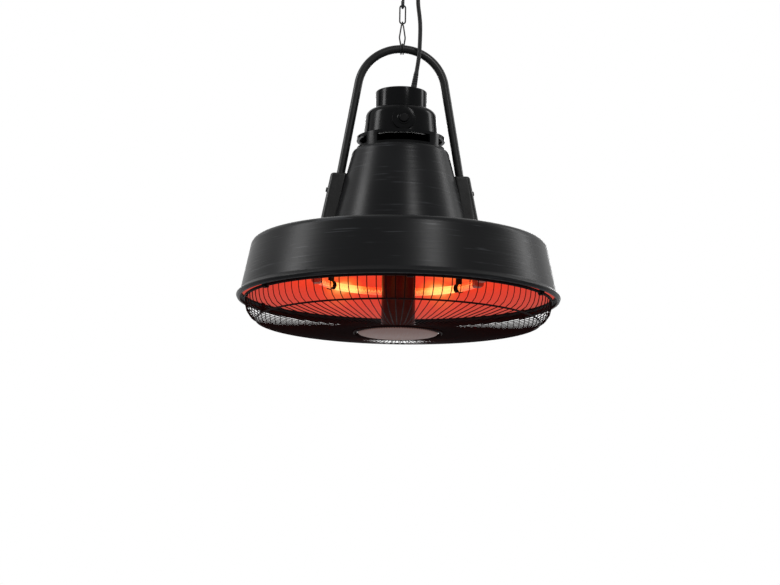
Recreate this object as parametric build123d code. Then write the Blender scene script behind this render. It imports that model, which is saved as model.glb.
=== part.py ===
from build123d import *
import math
import os

# Hanging electric patio heater: a round metal shade with ring lamps under it, hung by a tube bail,
# a wire connector, a chain link and a long hook from a screw eye. Millimetres, +Z up.
# The origin is on the ceiling's face, at the root of the screw eye's thread.

# Driving dimensions
DROP = 610.0            # ceiling face down to the plane of the shade's lip
LIP_R = 230.0           # widest radius of the flared lip
SHEET = 1.2             # thickness of the spun sheet metal
GAP = 0.3               # clearance between pieces that move on each other

SHADE_TOP_R = 209.0     # shade wall produced up to the top plate
SHADE_TOP_Z = 81.0
SHADE_SHOULDER = 11.0   # radius of the shade's shoulder
LIP_NECK_R = 224.2      # the wall flares out to the lip here
LIP_TOP_Z = 7.0
LIP_EDGE_Z = 1.6        # the lip's widest height, where it turns under
LIP_END_Z = -2.4

CONE_FOOT_R = 101.0     # neck cone where it stands on the shade
CONE_TOP_R = 67.6       # cone wall produced up to its top plate
CONE_TOP_Z = 213.5
CONE_SHOULDER = 6.0
CONE_FOOT_Z = SHADE_TOP_Z + 0.3

COLLAR_R = 63.4         # ring of windows under the dome
COLLAR_FOOT_Z = CONE_TOP_Z
COLLAR_TOP_Z = 234.0
WINDOWS = 4
WINDOW_ANGLE = 73.0
WINDOW_HEIGHT = 11.5

DOME_FOOT_R = 53.8
DOME_TOP_R = 50.0
DOME_TOP_Z = 275.5
DOME_SHOULDER = 13.0
CAP_R = 37.0
CAP_TOP_Z = 303.0
CAP_EDGE = 2.5

BOSS_R = 16.5           # round pad on the dome's front
BOSS_Z = 251.5
BOSS_FACE_Y = -55.5
BUTTON_R = 6.3
BUTTON_TRAVEL = 2.0
BUTTON_PROUD = 3.4

TUBE_R = 6.0            # bail tube
TUBE_WALL = 1.2
ARCH_R = 63.2
ARCH_Z = 304.0
LEG_LEAN = math.radians(9.7)
LEG_END_Z = 157.0

SOCKET_TOP_Z = 180.0
SOCKET_TOP_SIZE = (25.0, 21.0)
SOCKET_FOOT_SIZE = (26.0, 28.0)
SOCKET_FOOT_X = 106.0
SOCKET_TOP_X = 87.0

WIRE_R = 1.1            # chain link and connector wire
LINK_LENGTH = 30.0
LINK_WIDTH = 10.4
LINK_FOOT_Z = 404.0
HOOK_R = 2.0            # long hook's rod
HOOK_BEND = 7.0
EYE_R = 2.5             # screw eye's rod
EYE_RING = 8.0
EYE_Z = 595.5
THREAD_R = 3.0
THREAD_LENGTH = 28.0

REFLECTOR_R = 213.5
REFLECTOR_RIM_Z = 8.0
FLANGE_R = 222.6        # the reflector's flange reaches the shade's wall
REFLECTOR_TOP_Z = 62.0
COLUMN_R = 24.0
PLATE_R = 57.0
PLATE_Z = -49.0
PLATE_RING_R = 61.5

GUARD_WIRES = 106
GUARD_WIRE = 1.5        # width of a radial wire
GUARD_RING_R = 201.0
GUARD_RING_Z = -32.5
RING_WIRE_R = 1.3
RIM_R = 217.0
RIM_Z = -3.0
RIM_WIRE_R = 2.6
CLIPS = 6
CLIP_WIDTH = 8.6

LAMP_R = 118.0          # radius of the half-ring lamps
LAMP_Z = 31.0
LAMP_TUBE_R = 5.5
LAMP_SPAN = 150.0       # degrees of arc in each lamp

BRACKET_TOP_Z = SHADE_TOP_Z + 2.1
BOARD_Z = 190.0

CORD_R = 3.0
CORD_LENGTH = 1800.0
CORD_EXIT = (15.8, -18.0, CAP_TOP_Z)
COIL_Z = 530.0
COIL_BACK_Y = -7.2      # centre of the cord in the coil's rear layer
COIL_INNER_R = 26.0
COIL_STEP = 7.4         # between turns, outwards
COIL_LAYER = 7.0        # between layers, forwards
COIL_LAYERS = 4
COIL_SPIRAL = 1.5       # turns in a layer, with half a turn more to climb to the next
TAIL_LENGTH = 6.0


def up(z):
    """A height above the lip plane, in the frame whose origin is at the ceiling."""
    return z - DROP


def spot(x, y, z):
    return Vector(x, y, up(z))


def revolve_profile(points, radii=None):
    """A closed outline of (radius, height above the lip plane), turned about the axis."""
    corners = [(r, up(z)) for r, z in points]
    if radii:
        outline = FilletPolyline(*corners, radius=radii, close=True)
    else:
        outline = Polyline(*corners, close=True)
    face = make_face(outline.edges())
    return revolve(Plane.XZ * face, Axis.Z)


def spun_shell(line, thickness=SHEET, side=Side.RIGHT):
    """A wall of sheet metal: an open line of (radius, height) given thickness on one side."""
    wall = line.offset_2d(thickness, kind=Kind.INTERSECTION, side=side)
    return revolve(Plane.XZ * make_face(wall.edges()), Axis.Z)


def rod(path, radius, sides=0):
    """A round or flat-sided rod swept along a path."""
    start = Plane(origin=path @ 0.0, z_dir=path % 0.0)
    section = RegularPolygon(radius, sides) if sides else Circle(radius)
    return sweep(start * section, path=path)


def ring(radius, z, wire_r, sides=8):
    """A closed wire ring round the axis, of a flat-sided section."""
    section = Plane.XZ * Pos(radius, up(z)) * RegularPolygon(wire_r, sides)
    return revolve(section, Axis.Z)


def wire_through(points, radius, sides=6):
    """A bent wire: straight pieces between points, mitred, on a flat-sided section."""
    corners = [Vector(*p) for p in points]
    directions = [(b - a).normalized() for a, b in zip(corners, corners[1:])]
    side = directions[0].cross(Vector(0, 0, 1))
    if side.length < 0.1:
        side = directions[0].cross(Vector(1, 0, 0))
    sections = []
    for index, corner in enumerate(corners):
        before = directions[max(index - 1, 0)]
        after = directions[min(index, len(directions) - 1)]
        along = (before + after).normalized()
        side = (side - along * side.dot(along)).normalized()
        plane = Plane(origin=corner, x_dir=side, z_dir=along)
        stretch = 1.0 / max(before.dot(along), 0.5)
        sections.append(plane * RegularPolygon(radius * (1 + (stretch - 1) / 2), sides))
    return loft(sections, ruled=True)


def bolt(x, y, z, turn=(0, 0, 0), head_r=3.4, head=2.0, shank_r=1.6, shank=6.0):
    """A pan-head screw whose head stands along its own +Z from the given point."""
    body = Cylinder(head_r, head, align=(Align.CENTER, Align.CENTER, Align.MIN))
    top = body.edges().sort_by(Axis.Z)[-1]
    body = fillet(top, head * 0.45)
    body += Cylinder(shank_r, shank, align=(Align.CENTER, Align.CENTER, Align.MAX))
    body -= Pos(0, 0, head) * Box(head_r * 1.2, 0.8, 1.2)
    return Pos(spot(x, y, z)) * Rot(*turn) * body


def around(shape, count, start=0.0):
    """Copies of a shape turned evenly about the axis."""
    return [Rot(0, 0, start + 360.0 * index / count) * shape for index in range(count)]


# Hanging set

def ceiling_eye():
    thread = Cylinder(THREAD_R, THREAD_LENGTH, align=(Align.CENTER, Align.CENTER, Align.MIN))
    thread = chamfer(thread.edges().sort_by(Axis.Z)[-1], 1.0)
    collar = Cylinder(9.0, 2.0, align=(Align.CENTER, Align.CENTER, Align.MAX))
    neck_length = DROP - EYE_Z - EYE_RING
    neck = Cylinder(THREAD_R, neck_length, align=(Align.CENTER, Align.CENTER, Align.MAX))
    eye = Pos(0, 0, up(EYE_Z)) * Rot(90, 0, 0) * Torus(EYE_RING, EYE_R)
    return thread + collar + neck + eye


def hook_centres():
    top = EYE_Z - EYE_RING + EYE_R + HOOK_R + GAP - HOOK_BEND
    foot_centreline = LINK_FOOT_Z + LINK_LENGTH - WIRE_R * 2 - GAP - HOOK_R
    return top, foot_centreline + HOOK_BEND


def hanger_hook():
    top_z, foot_z = hook_centres()
    slant = math.asin(2 * HOOK_BEND / (top_z - foot_z))
    reach_y = HOOK_BEND * math.cos(slant)
    reach_z = HOOK_BEND * math.sin(slant)
    upper_end = spot(0, reach_y, top_z - reach_z)
    lower_end = spot(0, -reach_y, foot_z + reach_z)
    upper_tip = spot(0, -HOOK_BEND, top_z)
    lower_tip = spot(0, HOOK_BEND, foot_z)
    path = Wire([
        Line(upper_tip - Vector(0, 0, 5), upper_tip).edge(),
        ThreePointArc(upper_tip, spot(0, 0, top_z + HOOK_BEND), upper_end).edge(),
        Line(upper_end, lower_end).edge(),
        ThreePointArc(lower_end, spot(0, 0, foot_z - HOOK_BEND), lower_tip).edge(),
        Line(lower_tip, lower_tip + Vector(0, 0, 5)).edge(),
    ])
    return rod(path, HOOK_R, 10)


def chain_link():
    half = LINK_WIDTH / 2 - WIRE_R
    low = LINK_FOOT_Z + LINK_WIDTH / 2
    high = LINK_FOOT_Z + LINK_LENGTH - LINK_WIDTH / 2
    path = Wire([
        Line(spot(half, 0, low), spot(half, 0, high)).edge(),
        ThreePointArc(spot(half, 0, high), spot(0, 0, high + half), spot(-half, 0, high)).edge(),
        Line(spot(-half, 0, high), spot(-half, 0, low)).edge(),
        ThreePointArc(spot(-half, 0, low), spot(0, 0, low - half), spot(half, 0, low)).edge(),
    ])
    return rod(path, WIRE_R, 8)


def bail_connector():
    """One wire: a narrow top bend over the link, a diamond, and a turn and a half round the bail."""
    grip = TUBE_R + WIRE_R + GAP
    tube_z = ARCH_Z + ARCH_R
    top = LINK_FOOT_Z + 3 * WIRE_R + GAP
    steps = 22
    pitch = 3.2
    eye = []
    for index in range(steps + 1):
        share = index / steps
        turn = math.radians(540 * share - 90)
        eye.append(spot(pitch * 1.5 * (share - 0.5), grip * math.sin(turn), tube_z - grip * math.cos(turn)))
    strand_one = [spot(-0.4, -2.9, top - 2.6), spot(-1.6, -2.6, top - 5), spot(-4.2, -1.2, 385),
                  spot(-4.1, -1.8, 382.5), spot(-2.6, -6.6, 371.5)]
    strand_two = [spot(2.6, 6.6, 371.5), spot(4.1, 1.8, 382.5), spot(4.2, 1.2, 385),
                  spot(1.6, 2.6, top - 5), spot(0.4, 2.9, top - 2.6)]
    crown_one = [spot(0, -0.12, top), spot(-0.3, -2.1, top - 0.7)]
    crown_two = [spot(0.3, 2.1, top - 0.7), spot(0, 0.12, top)]
    return wire_through(crown_one + strand_one + eye + strand_two + crown_two, WIRE_R, 6)


# Bail and its sockets

def leg_x(z):
    """The bail leg's centre line at a height."""
    tangent_z = ARCH_Z + ARCH_R * math.sin(LEG_LEAN)
    return ARCH_R * math.cos(LEG_LEAN) + math.tan(LEG_LEAN) * (tangent_z - z)


def bail_path():
    tangent = ARCH_Z + ARCH_R * math.sin(LEG_LEAN)
    right = spot(leg_x(tangent), 0, tangent)
    left = spot(-leg_x(tangent), 0, tangent)
    return Wire([
        Line(spot(leg_x(LEG_END_Z), 0, LEG_END_Z), right).edge(),
        ThreePointArc(right, spot(0, 0, ARCH_Z + ARCH_R), left).edge(),
        Line(left, spot(-leg_x(LEG_END_Z), 0, LEG_END_Z)).edge(),
    ])


def hanging_bail():
    path = bail_path()
    start = Plane(origin=path @ 0.0, z_dir=path % 0.0)
    section = start * (Circle(TUBE_R) - Circle(TUBE_R - TUBE_WALL))
    return sweep(section, path=path)


def cone_r(z):
    """The neck cone's outer radius at a height."""
    share = (z - CONE_FOOT_Z) / (CONE_TOP_Z - CONE_FOOT_Z)
    return CONE_FOOT_R + (CONE_TOP_R - CONE_FOOT_R) * share


def cone_envelope():
    return revolve_profile([
        (0, SHADE_TOP_Z - 5), (cone_r(SHADE_TOP_Z - 5) + 0.05, SHADE_TOP_Z - 5),
        (CONE_TOP_R + 0.05, CONE_TOP_Z), (0, CONE_TOP_Z),
    ])


def socket(side):
    """A cast socket that stands on the shade against the cone and holds a leg of the bail."""
    foot = Pos(spot(SOCKET_FOOT_X, 0, SHADE_TOP_Z)) * RectangleRounded(*SOCKET_FOOT_SIZE, 6)
    top = Pos(spot(SOCKET_TOP_X, 0, SOCKET_TOP_Z)) * RectangleRounded(*SOCKET_TOP_SIZE, 6)
    body = loft([foot, top])
    rim = body.faces().sort_by(Axis.Z)[-1].edges()
    body = fillet(rim, 4.0)
    pad = Pos(spot(SOCKET_FOOT_X + 3, 0, SHADE_TOP_Z)) * extrude(RectangleRounded(30, 34, 5), 4)
    body += pad
    body -= cone_envelope()
    axis_foot = spot(leg_x(LEG_END_Z - 1), 0, LEG_END_Z - 1)
    axis_top = spot(leg_x(SOCKET_TOP_Z + 10), 0, SOCKET_TOP_Z + 10)
    bore_plane = Plane(origin=axis_foot, z_dir=axis_top - axis_foot)
    body -= extrude(bore_plane * Circle(TUBE_R + 0.02), (axis_top - axis_foot).length)
    for screw in clamp_screws():
        body -= screw
    body = body.solids().sort_by(SortBy.VOLUME)[-1]
    return body if side > 0 else body.mirror(Plane.YZ)


def clamp_screws():
    """The screws in the right socket's outer face."""
    screws = []
    lean = math.degrees(math.atan2(SOCKET_FOOT_X - SOCKET_TOP_X, SOCKET_TOP_Z - SHADE_TOP_Z))
    for z in (110.0, 156.0):
        share = (z - SHADE_TOP_Z) / (SOCKET_TOP_Z - SHADE_TOP_Z)
        centre = SOCKET_FOOT_X + (SOCKET_TOP_X - SOCKET_FOOT_X) * share
        half = (SOCKET_FOOT_SIZE[0] + (SOCKET_TOP_SIZE[0] - SOCKET_FOOT_SIZE[0]) * share) / 2
        screws.append(bolt(centre + half, 0, z, turn=(0, 90 - lean, 0), shank=2.0, shank_r=1.2))
    return screws


def socket_screws():
    right = clamp_screws()
    return Compound(right + [screw.mirror(Plane.YZ) for screw in right])


# Housing

def neck_cone():
    line = FilletPolyline(
        (CONE_FOOT_R, up(CONE_FOOT_Z)), (CONE_TOP_R, up(CONE_TOP_Z)), (50, up(CONE_TOP_Z)),
        radius=CONE_SHOULDER,
    )
    return spun_shell(line, side=Side.LEFT)


def shade():
    line = FilletPolyline(
        (84, up(SHADE_TOP_Z)), (SHADE_TOP_R, up(SHADE_TOP_Z)), (LIP_NECK_R, up(LIP_TOP_Z)),
        (LIP_R + 0.4, up(LIP_EDGE_Z)), (LIP_R - 1.8, up(LIP_END_Z)), (LIP_R - 5, up(LIP_END_Z - 0.8)),
        radius=[SHADE_SHOULDER, 4, 1.8, 1.6],
    )
    return spun_shell(line)


def reflector():
    line = FilletPolyline(
        (COLUMN_R + 0.1, up(REFLECTOR_TOP_Z)), (150, up(REFLECTOR_TOP_Z)), (196, up(38)),
        (REFLECTOR_R, up(REFLECTOR_RIM_Z)), (FLANGE_R, up(REFLECTOR_RIM_Z)), radius=[40, 30, 1.5],
    )
    return spun_shell(line, 0.8)


def heat_shield():
    """An inner pan between the reflector and the shade's top plate, on turned-down feet."""
    line = FilletPolyline(
        (30, up(71)), (124, up(71)), (134, up(62.7)), radius=4)
    return spun_shell(line, 0.8)


def centre_column():
    return revolve_profile([
        (COLUMN_R - 1.2, SHADE_TOP_Z), (COLUMN_R, SHADE_TOP_Z),
        (COLUMN_R, PLATE_Z + 2), (COLUMN_R - 1.2, PLATE_Z + 2),
    ])


def centre_plate():
    return revolve_profile([
        (0, PLATE_Z - 1.2), (PLATE_R - 3, PLATE_Z - 1.2), (PLATE_R, PLATE_Z + 0.6),
        (PLATE_R, PLATE_Z + 2), (0, PLATE_Z + 2),
    ])


def plate_ring():
    return ring(PLATE_RING_R, PLATE_Z + 0.6, 1.5, 8)


def column_bolt():
    bolt_head = Pos(spot(0, 0, PLATE_Z + 2)) * Cylinder(9, 6, align=(Align.CENTER, Align.CENTER, Align.MIN))
    stud = Pos(spot(0, 0, PLATE_Z + 8)) * Cylinder(3, 128, align=(Align.CENTER, Align.CENTER, Align.MIN))
    return bolt_head + stud


# Lamps

def lamp_azimuths(side):
    """First and last angle of a half-ring lamp, front (-1) or rear (+1)."""
    middle = 90.0 * side
    return middle - LAMP_SPAN / 2, middle + LAMP_SPAN / 2


def arc_rod(radius, z, first, last, rod_r, sides):
    section = Plane.XZ * Pos(radius, up(z)) * RegularPolygon(rod_r, sides)
    return Rot(0, 0, first) * revolve(section, Axis.Z, last - first)


def lamp(side):
    first, last = lamp_azimuths(side)
    tube = arc_rod(LAMP_R, LAMP_Z, first, last, LAMP_TUBE_R, 10)
    bore = arc_rod(LAMP_R, LAMP_Z, first - 1, last + 1, LAMP_TUBE_R - 1, 8)
    return tube - bore


def lamp_filament(side):
    first, last = lamp_azimuths(side)
    return arc_rod(LAMP_R, LAMP_Z, first + 1, last - 1, 1.6, 6)


def lamp_end_caps():
    caps = []
    for side in (-1, 1):
        first, last = lamp_azimuths(side)
        for edge, way in ((first, -1), (last, 1)):
            block = Pos(LAMP_R, 0, up(LAMP_Z)) * Box(13, 14, 13)
            block = chamfer(block.edges().filter_by(Axis.Y), 2)
            caps.append(Rot(0, 0, edge + way * 3.8) * block)
    return Compound(caps)


def lamp_holders():
    """Spring clips that carry the lamps from the reflector, three for each."""
    holders = []
    stem_foot = LAMP_Z + LAMP_TUBE_R + 1.0
    stem_top = REFLECTOR_TOP_Z - 0.8
    for side in (-1, 1):
        for offset in (-52.0, 0.0, 52.0):
            stem = Pos(LAMP_R, 0, up((stem_foot + stem_top) / 2)) * Box(5, 8, stem_top - stem_foot)
            band = Pos(LAMP_R, 0, up(LAMP_Z)) * Rot(90, 0, 0) * Cylinder(LAMP_TUBE_R + 1.6, 8)
            hole = Pos(LAMP_R, 0, up(LAMP_Z)) * Rot(90, 0, 0) * Cylinder(LAMP_TUBE_R + 0.5, 10)
            mouth = Pos(LAMP_R, 0, up(LAMP_Z - 7)) * Box(6, 10, 6)
            holders.append(Rot(0, 0, 90 * side + offset) * (stem + band - hole - mouth))
    return Compound(holders)


# Guard

def guard_profile():
    """One radial wire from the rim to the plate ring."""
    return [(RIM_R, RIM_Z - 1.5), (213.5, -22.0), (GUARD_RING_R, GUARD_RING_Z + 0.6), (150.0, -42.0),
            (100.0, -47.0), (PLATE_RING_R - 0.5, PLATE_Z + 2.4)]


def guard_wires():
    points = [(r, 0.0, up(z)) for r, z in guard_profile()]
    wire = wire_through(points, GUARD_WIRE * 0.62, 4)
    return Compound(around(wire, GUARD_WIRES))


def guard_ring():
    return ring(GUARD_RING_R, GUARD_RING_Z - 0.6, RING_WIRE_R, 6)


def guard_rim():
    return ring(RIM_R, RIM_Z, RIM_WIRE_R, 8)


def guard_clips():
    """Bent tabs between two wires that hold the guard's rim up under the reflector's flange."""
    tab_foot = RIM_Z + 3.0
    tab_top = REFLECTOR_RIM_Z - 0.8
    tab = Pos(RIM_R, 0, up((tab_foot + tab_top) / 2)) * Box(1.4, CLIP_WIDTH, tab_top - tab_foot)
    wrap = Pos(RIM_R, 0, up(RIM_Z)) * Box(6.6, CLIP_WIDTH, 6.6)
    rim = Pos(RIM_R, 0, up(RIM_Z)) * Rot(90, 0, 0) * Cylinder(RIM_WIRE_R + 0.05, 14)
    clip = tab + wrap - rim
    spacing = 360.0 / GUARD_WIRES
    turns = [(round((30 + 60 * index) / spacing - 0.5) + 0.5) * spacing for index in range(CLIPS)]
    return Compound([Rot(0, 0, turn) * clip for turn in turns])


# Top of the housing

def vent_collar():
    ring_body = revolve_profile([
        (COLLAR_R - 4, COLLAR_FOOT_Z), (COLLAR_R, COLLAR_FOOT_Z),
        (COLLAR_R, COLLAR_TOP_Z), (COLLAR_R - 4, COLLAR_TOP_Z),
    ])
    half = math.radians(WINDOW_ANGLE / 2)
    reach = COLLAR_R + 10
    wedge = make_face(Polyline(
        (0, 0), (reach * math.cos(half), -reach * math.sin(half)), (reach * 1.3, 0),
        (reach * math.cos(half), reach * math.sin(half)), close=True).edges())
    middle = (COLLAR_FOOT_Z + COLLAR_TOP_Z) / 2
    window = Pos(0, 0, up(middle - WINDOW_HEIGHT / 2)) * extrude(wedge, WINDOW_HEIGHT)
    for copy in around(window, WINDOWS, 90):
        ring_body -= copy
    lid = revolve_profile([
        (DOME_FOOT_R - 6, COLLAR_TOP_Z - 2), (COLLAR_R - 4, COLLAR_TOP_Z - 2),
        (COLLAR_R - 4, COLLAR_TOP_Z), (DOME_FOOT_R - 6, COLLAR_TOP_Z),
    ])
    return ring_body + lid


def dome():
    line = FilletPolyline(
        (DOME_FOOT_R, up(COLLAR_TOP_Z + 0.2)), (DOME_TOP_R, up(DOME_TOP_Z)), (20, up(DOME_TOP_Z)),
        radius=DOME_SHOULDER)
    shell = spun_shell(line, 2.0, side=Side.LEFT)
    boss = Pos(0, BOSS_FACE_Y, up(BOSS_Z)) * Rot(-90, 0, 0) * Cylinder(
        BOSS_R, 12, align=(Align.CENTER, Align.CENTER, Align.MIN))
    keep = revolve_profile([
        (0, COLLAR_TOP_Z), (DOME_FOOT_R - 1, COLLAR_TOP_Z),
        (DOME_TOP_R - 1, DOME_TOP_Z - 1), (0, DOME_TOP_Z - 1),
    ])
    shell += boss - keep
    hole = Pos(0, BOSS_FACE_Y - 1, up(BOSS_Z)) * Rot(-90, 0, 0) * Cylinder(
        BUTTON_R + 1.6, 20, align=(Align.CENTER, Align.CENTER, Align.MIN))
    return (shell - hole).solids().sort_by(SortBy.VOLUME)[-1]


def front_turned(radius, first_y, last_y):
    """A cylinder that lies along Y through the boss, from one Y to another."""
    return Pos(0, first_y, up(BOSS_Z)) * Rot(-90, 0, 0) * Cylinder(
        radius, last_y - first_y, align=(Align.CENTER, Align.CENTER, Align.MIN))


def button_bezel():
    body = front_turned(BUTTON_R + 1.6, BOSS_FACE_Y - 0.8, BOSS_FACE_Y + 11.8)
    body += front_turned(BUTTON_R + 3.0, BOSS_FACE_Y - 0.8, BOSS_FACE_Y)
    return body - front_turned(BUTTON_R + GAP, BOSS_FACE_Y - 2, BOSS_FACE_Y + 13)


def power_button():
    cap = front_turned(BUTTON_R, BOSS_FACE_Y - BUTTON_PROUD, BOSS_FACE_Y + 4)
    cap = fillet(cap.edges().sort_by(Axis.Y)[0], 1.2)
    return cap + front_turned(2.2, BOSS_FACE_Y + 4, BOSS_FACE_Y + 9.5)


def switch_body():
    y = BOSS_FACE_Y + 9.5 + BUTTON_TRAVEL + GAP
    return Pos(0, y + 6, up(BOSS_Z)) * Box(16, 12, 18)


def top_cap():
    outline = revolve_profile([
        (18, DOME_TOP_Z + 0.02), (CAP_R, DOME_TOP_Z + 0.02), (CAP_R, CAP_TOP_Z), (0, CAP_TOP_Z),
        (0, CAP_TOP_Z - 3), (CAP_R - 3, CAP_TOP_Z - 3), (CAP_R - 3, DOME_TOP_Z + 3), (18, DOME_TOP_Z + 3),
    ])
    edge = outline.edges().filter_by(GeomType.CIRCLE).filter_by_position(
        Axis.Z, up(CAP_TOP_Z) - 0.01, up(CAP_TOP_Z) + 0.01)
    outline = fillet(edge, CAP_EDGE)
    body = outline - Pos(spot(CORD_EXIT[0], CORD_EXIT[1], CAP_TOP_Z)) * Cylinder(4.5, 12)
    for screw in cap_screws().solids():
        body -= screw
    return body


def cap_screws():
    """Two screws in the cap's top, on the side away from the cord."""
    turns = [math.radians(60), math.radians(150)]
    return Compound([bolt(24 * math.cos(turn), 24 * math.sin(turn), CAP_TOP_Z, shank=3.0) for turn in turns])


# Inside

def terminal_block():
    block = Pos(spot(-55, 0, BRACKET_TOP_Z + 8)) * Box(34, 18, 16)
    slots = [Pos(spot(-55 + dx, 0, BRACKET_TOP_Z + 16)) * Box(7, 12, 8) for dx in (-11, 0, 11)]
    return block - slots[0] - slots[1] - slots[2]


def control_board():
    return Pos(spot(0, 10, BOARD_Z)) * Box(70, 46, 1.6)


def relays():
    case = Box(14, 18, 15, align=(Align.CENTER, Align.CENTER, Align.MIN))
    return Compound([Pos(spot(dx, 10, BOARD_Z + 0.8)) * case for dx in (-20, 0, 20)])


def thermal_cutout():
    base = Align.CENTER, Align.CENTER, Align.MIN
    disc = Pos(spot(20, 60, 71)) * Cylinder(8, 8, align=base)
    return disc + Pos(spot(20, 60, 78.9)) * Box(4, 12, 6, align=base)


def inner_bracket():
    """A bridge across the shade's top, with two posts for the control board."""
    base = Align.CENTER, Align.CENTER, Align.MIN
    bar = Pos(spot(0, 0, BRACKET_TOP_Z - 2)) * Box(184, 30, 2, align=base)
    bar -= Pos(spot(0, 0, SHADE_TOP_Z)) * Cylinder(3.4, 20)
    for x in (-33, 33):
        bar += Pos(spot(x, 9, BRACKET_TOP_Z)) * Box(2, 10, BOARD_Z - 0.8 - BRACKET_TOP_Z, align=base)
    return bar


# Cord

def bend_radii(points):
    radii = []
    for before, corner, after in zip(points, points[1:], points[2:]):
        turn = (corner - before).get_angle(after - corner)
        run = min((corner - before).length, (after - corner).length)
        radii.append(0.45 * run / math.tan(math.radians(turn / 2)))
    return radii


def cord_tube(name, points):
    """A free stretch of cord: straight runs joined by tangent arcs, its volume compared with its length."""
    radii = bend_radii(points)
    path = FilletPolyline(*points, radius=radii) if radii else Line(*points)
    tube = rod(path, CORD_R, 10)
    print(name, "radii", [round(r) for r in radii], "length", round(path.length, 1),
          "volume by length", round(tube.volume / path.length, 2))
    return tube, path.length


LOWER_ROUTE = [(20.0, -17.4, 329), (22.58, -17.03, 345), (24.3, -16.6, 365), (24.6, -16.4, 386)]
MIDDLE_ROUTE = [(24.6, -16.4, 386), (24.76, -16.29, 397), (23.8, -16.2, 410), (22.0, -16.1, 423)]
UPPER_ROUTE = [(22.0, -16.1, 423), (20.2, -16.0, 436), (23.0, -14.5, 456), (31.0, -10.0, 480), (37.1, -7.2, 507),
               (37.1, -7.2, 530)]


def route(points):
    return [spot(*p) for p in points]


def strain_relief():
    start = spot(*CORD_EXIT)
    end = spot(*LOWER_ROUTE[0])
    plane = Plane(origin=start, z_dir=end - start)
    foot = plane * Circle(4.5)
    tip = Plane(origin=end, z_dir=end - start) * Circle(3.5)
    body = loft([foot, tip])
    body += Pos(spot(CORD_EXIT[0], CORD_EXIT[1], CAP_TOP_Z - 4)) * Cylinder(
        4.5, 6, align=(Align.CENTER, Align.CENTER, Align.MIN))
    return body


def coil_point(turn):
    """The coil's centre line: spirals in and out, layer on layer, climbing in the half turns between."""
    layer = int(turn // (COIL_SPIRAL + 0.5))
    within = turn - layer * (COIL_SPIRAL + 0.5)
    spiral = min(within, COIL_SPIRAL)
    climb = max(within - COIL_SPIRAL, 0.0) / 0.5
    inwards = layer % 2 == 0
    radius = COIL_INNER_R + COIL_STEP * (COIL_SPIRAL - spiral if inwards else spiral)
    angle = 2 * math.pi * turn
    y = COIL_BACK_Y - COIL_LAYER * (layer + climb)
    return spot(radius * math.cos(angle), y, COIL_Z + radius * math.sin(angle))


def coil_turns():
    return COIL_LAYERS * COIL_SPIRAL + (COIL_LAYERS - 1) * 0.5


def biarc(start, leaving, end, arriving):
    """Two tangent arcs from one point and direction to another."""
    span = end - start
    both = leaving + arriving
    square = 2 * (1 - leaving.dot(arriving))
    reach = (math.sqrt(span.dot(both) ** 2 + square * span.dot(span)) - span.dot(both)) / square
    middle = (start + end + (leaving - arriving) * reach) * 0.5
    first = Edge.make_tangent_arc(start, leaving, middle)
    return [first, Edge.make_tangent_arc(middle, first % 1.0, end)]


def coil_path():
    turns = coil_turns()
    count = int(round(turns * 4))
    points = [coil_point(turns * index / count) for index in range(count + 1)]
    ways = []
    for index in range(count + 1):
        turn = turns * index / count
        before = coil_point(max(turn - 0.02, 0.0))
        after = coil_point(min(turn + 0.02, turns - 1e-6))
        ways.append((after - before).normalized())
    ways[0] = Vector(0, 0, 1)
    ways[-1] = Vector(0, 0, -1)
    edges = []
    for index in range(count):
        edges += biarc(points[index], ways[index], points[index + 1], ways[index + 1])
    tail = Line(points[-1], points[-1] - Vector(0, 0, TAIL_LENGTH)).edge()
    return Wire(edges + [tail])


def least_gap_to_itself(path):
    """The least clear space between the coil's turns, measured on points along it."""
    count = 900
    points = [path @ (index / count) for index in range(count + 1)]
    step = path.length / count
    apart = int(4 * CORD_R / step) + 2
    least = min(
        (points[i] - points[j]).length
        for i in range(count + 1) for j in range(i + apart, count + 1))
    return least - 2 * CORD_R


def cord_coil():
    path = coil_path()
    print("coil length", round(path.length, 1), "least gap", round(least_gap_to_itself(path), 2))
    return rod(path, CORD_R, 6), path.length


def tail_end():
    end = coil_point(coil_turns() - 1e-6)
    return end - Vector(0, 0, TAIL_LENGTH)


def hook_y(z):
    """The hook's shank leans: its centre line at a height."""
    top_z, foot_z = hook_centres()
    return HOOK_BEND * (2 * z - top_z - foot_z) / (top_z - foot_z)


def cord_tie():
    """A tie in a figure of eight: one loop round the top of the coil, one round the hook's shank."""
    front = COIL_BACK_Y - COIL_LAYER * (COIL_LAYERS - 1) - CORD_R - 0.5
    back = 0.6
    middle_z = COIL_Z + COIL_INNER_R + COIL_STEP * COIL_SPIRAL / 2
    height = COIL_STEP * COIL_SPIRAL + 2 * CORD_R + 1.0
    inner = extrude(Plane.YZ * RectangleRounded(back - front, height, 4), 5, both=True)
    outer = extrude(Plane.YZ * RectangleRounded(back - front + 2.8, height + 2.8, 5.4), 4.5, both=True)
    loop = Pos(spot(0, (front + back) / 2, middle_z)) * (outer - inner)
    shank_y = hook_y(middle_z)
    lean = math.degrees(math.atan2(hook_y(middle_z + 10) - shank_y, 10))
    sleeve = Cylinder(3.7, 9) - Cylinder(HOOK_R + 0.15, 12)
    return loop + Pos(spot(0, shank_y, middle_z)) * Rot(-lean, 0, 0) * sleeve


def plug_body():
    """A moulded three-pin plug with a tapered strain relief, hanging from the cord's end."""
    top = tail_end()
    relief = Pos(top) * Cone(5.4, 3.4, 22, align=(Align.CENTER, Align.CENTER, Align.MAX), rotation=(0, 0, 0))
    foot = Pos(top - Vector(0, 0, 58)) * RectangleRounded(25, 26, 8)
    waist = Pos(top - Vector(0, 0, 36)) * RectangleRounded(22, 22, 8)
    neck = Pos(top - Vector(0, 0, 21)) * RectangleRounded(13, 13, 5)
    body = loft([foot, waist, neck])
    return relief + body


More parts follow.
